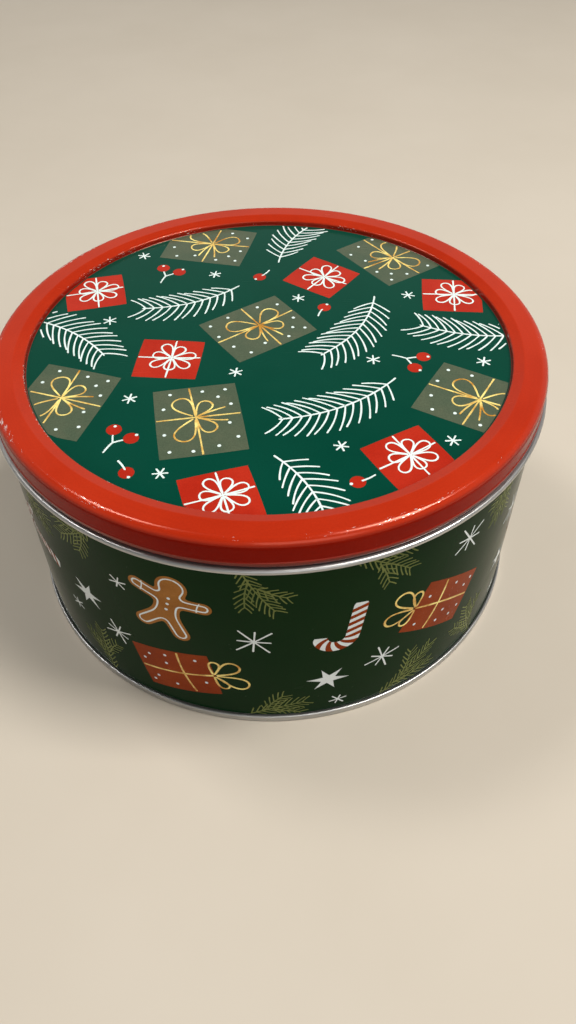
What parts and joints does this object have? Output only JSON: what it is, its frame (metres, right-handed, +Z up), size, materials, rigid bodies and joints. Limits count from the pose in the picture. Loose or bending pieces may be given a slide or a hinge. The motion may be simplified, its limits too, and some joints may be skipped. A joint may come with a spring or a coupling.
{
  "type": "christmas cookie tin",
  "caption": "Round tinplate cookie tin with a slip-on lid, recessed lid panel, stop bead below the lid and a double-seamed recessed base.",
  "frame": {"origin": "centre of the ring that the tin stands on, on the floor", "axes": "+Z up along the axis of the tin, towards the lid; +Y towards the side seam at the back"},
  "size_m": [0.2022, 0.202, 0.1],
  "materials": {
    "green_print": "glossy dark green lacquered print on tinplate, with seasonal ornaments",
    "red_enamel": "glossy red lacquer on tinplate",
    "bare_tin": "bright bare tinplate",
    "white_ink": "white printing ink under the clear lacquer",
    "red_ink": "red printing ink under the clear lacquer",
    "sage_ink": "grey green printing ink under the clear lacquer",
    "gold_ink": "gold yellow printing ink under the clear lacquer",
    "brown_ink": "ginger brown printing ink under the clear lacquer",
    "olive_ink": "olive printing ink under the clear lacquer"
  },
  "bodies": {
    "tin": {"body_wall": "green_print", "base": "bare_tin"},
    "lid": {"lid": "red_enamel"}
  },
  "joints": [
    {"name": "lid_lift", "type": "slide", "parent": "tin", "child": "lid", "axis": [0, 0, 1], "range_m": [0, 0.1]}
  ]
}
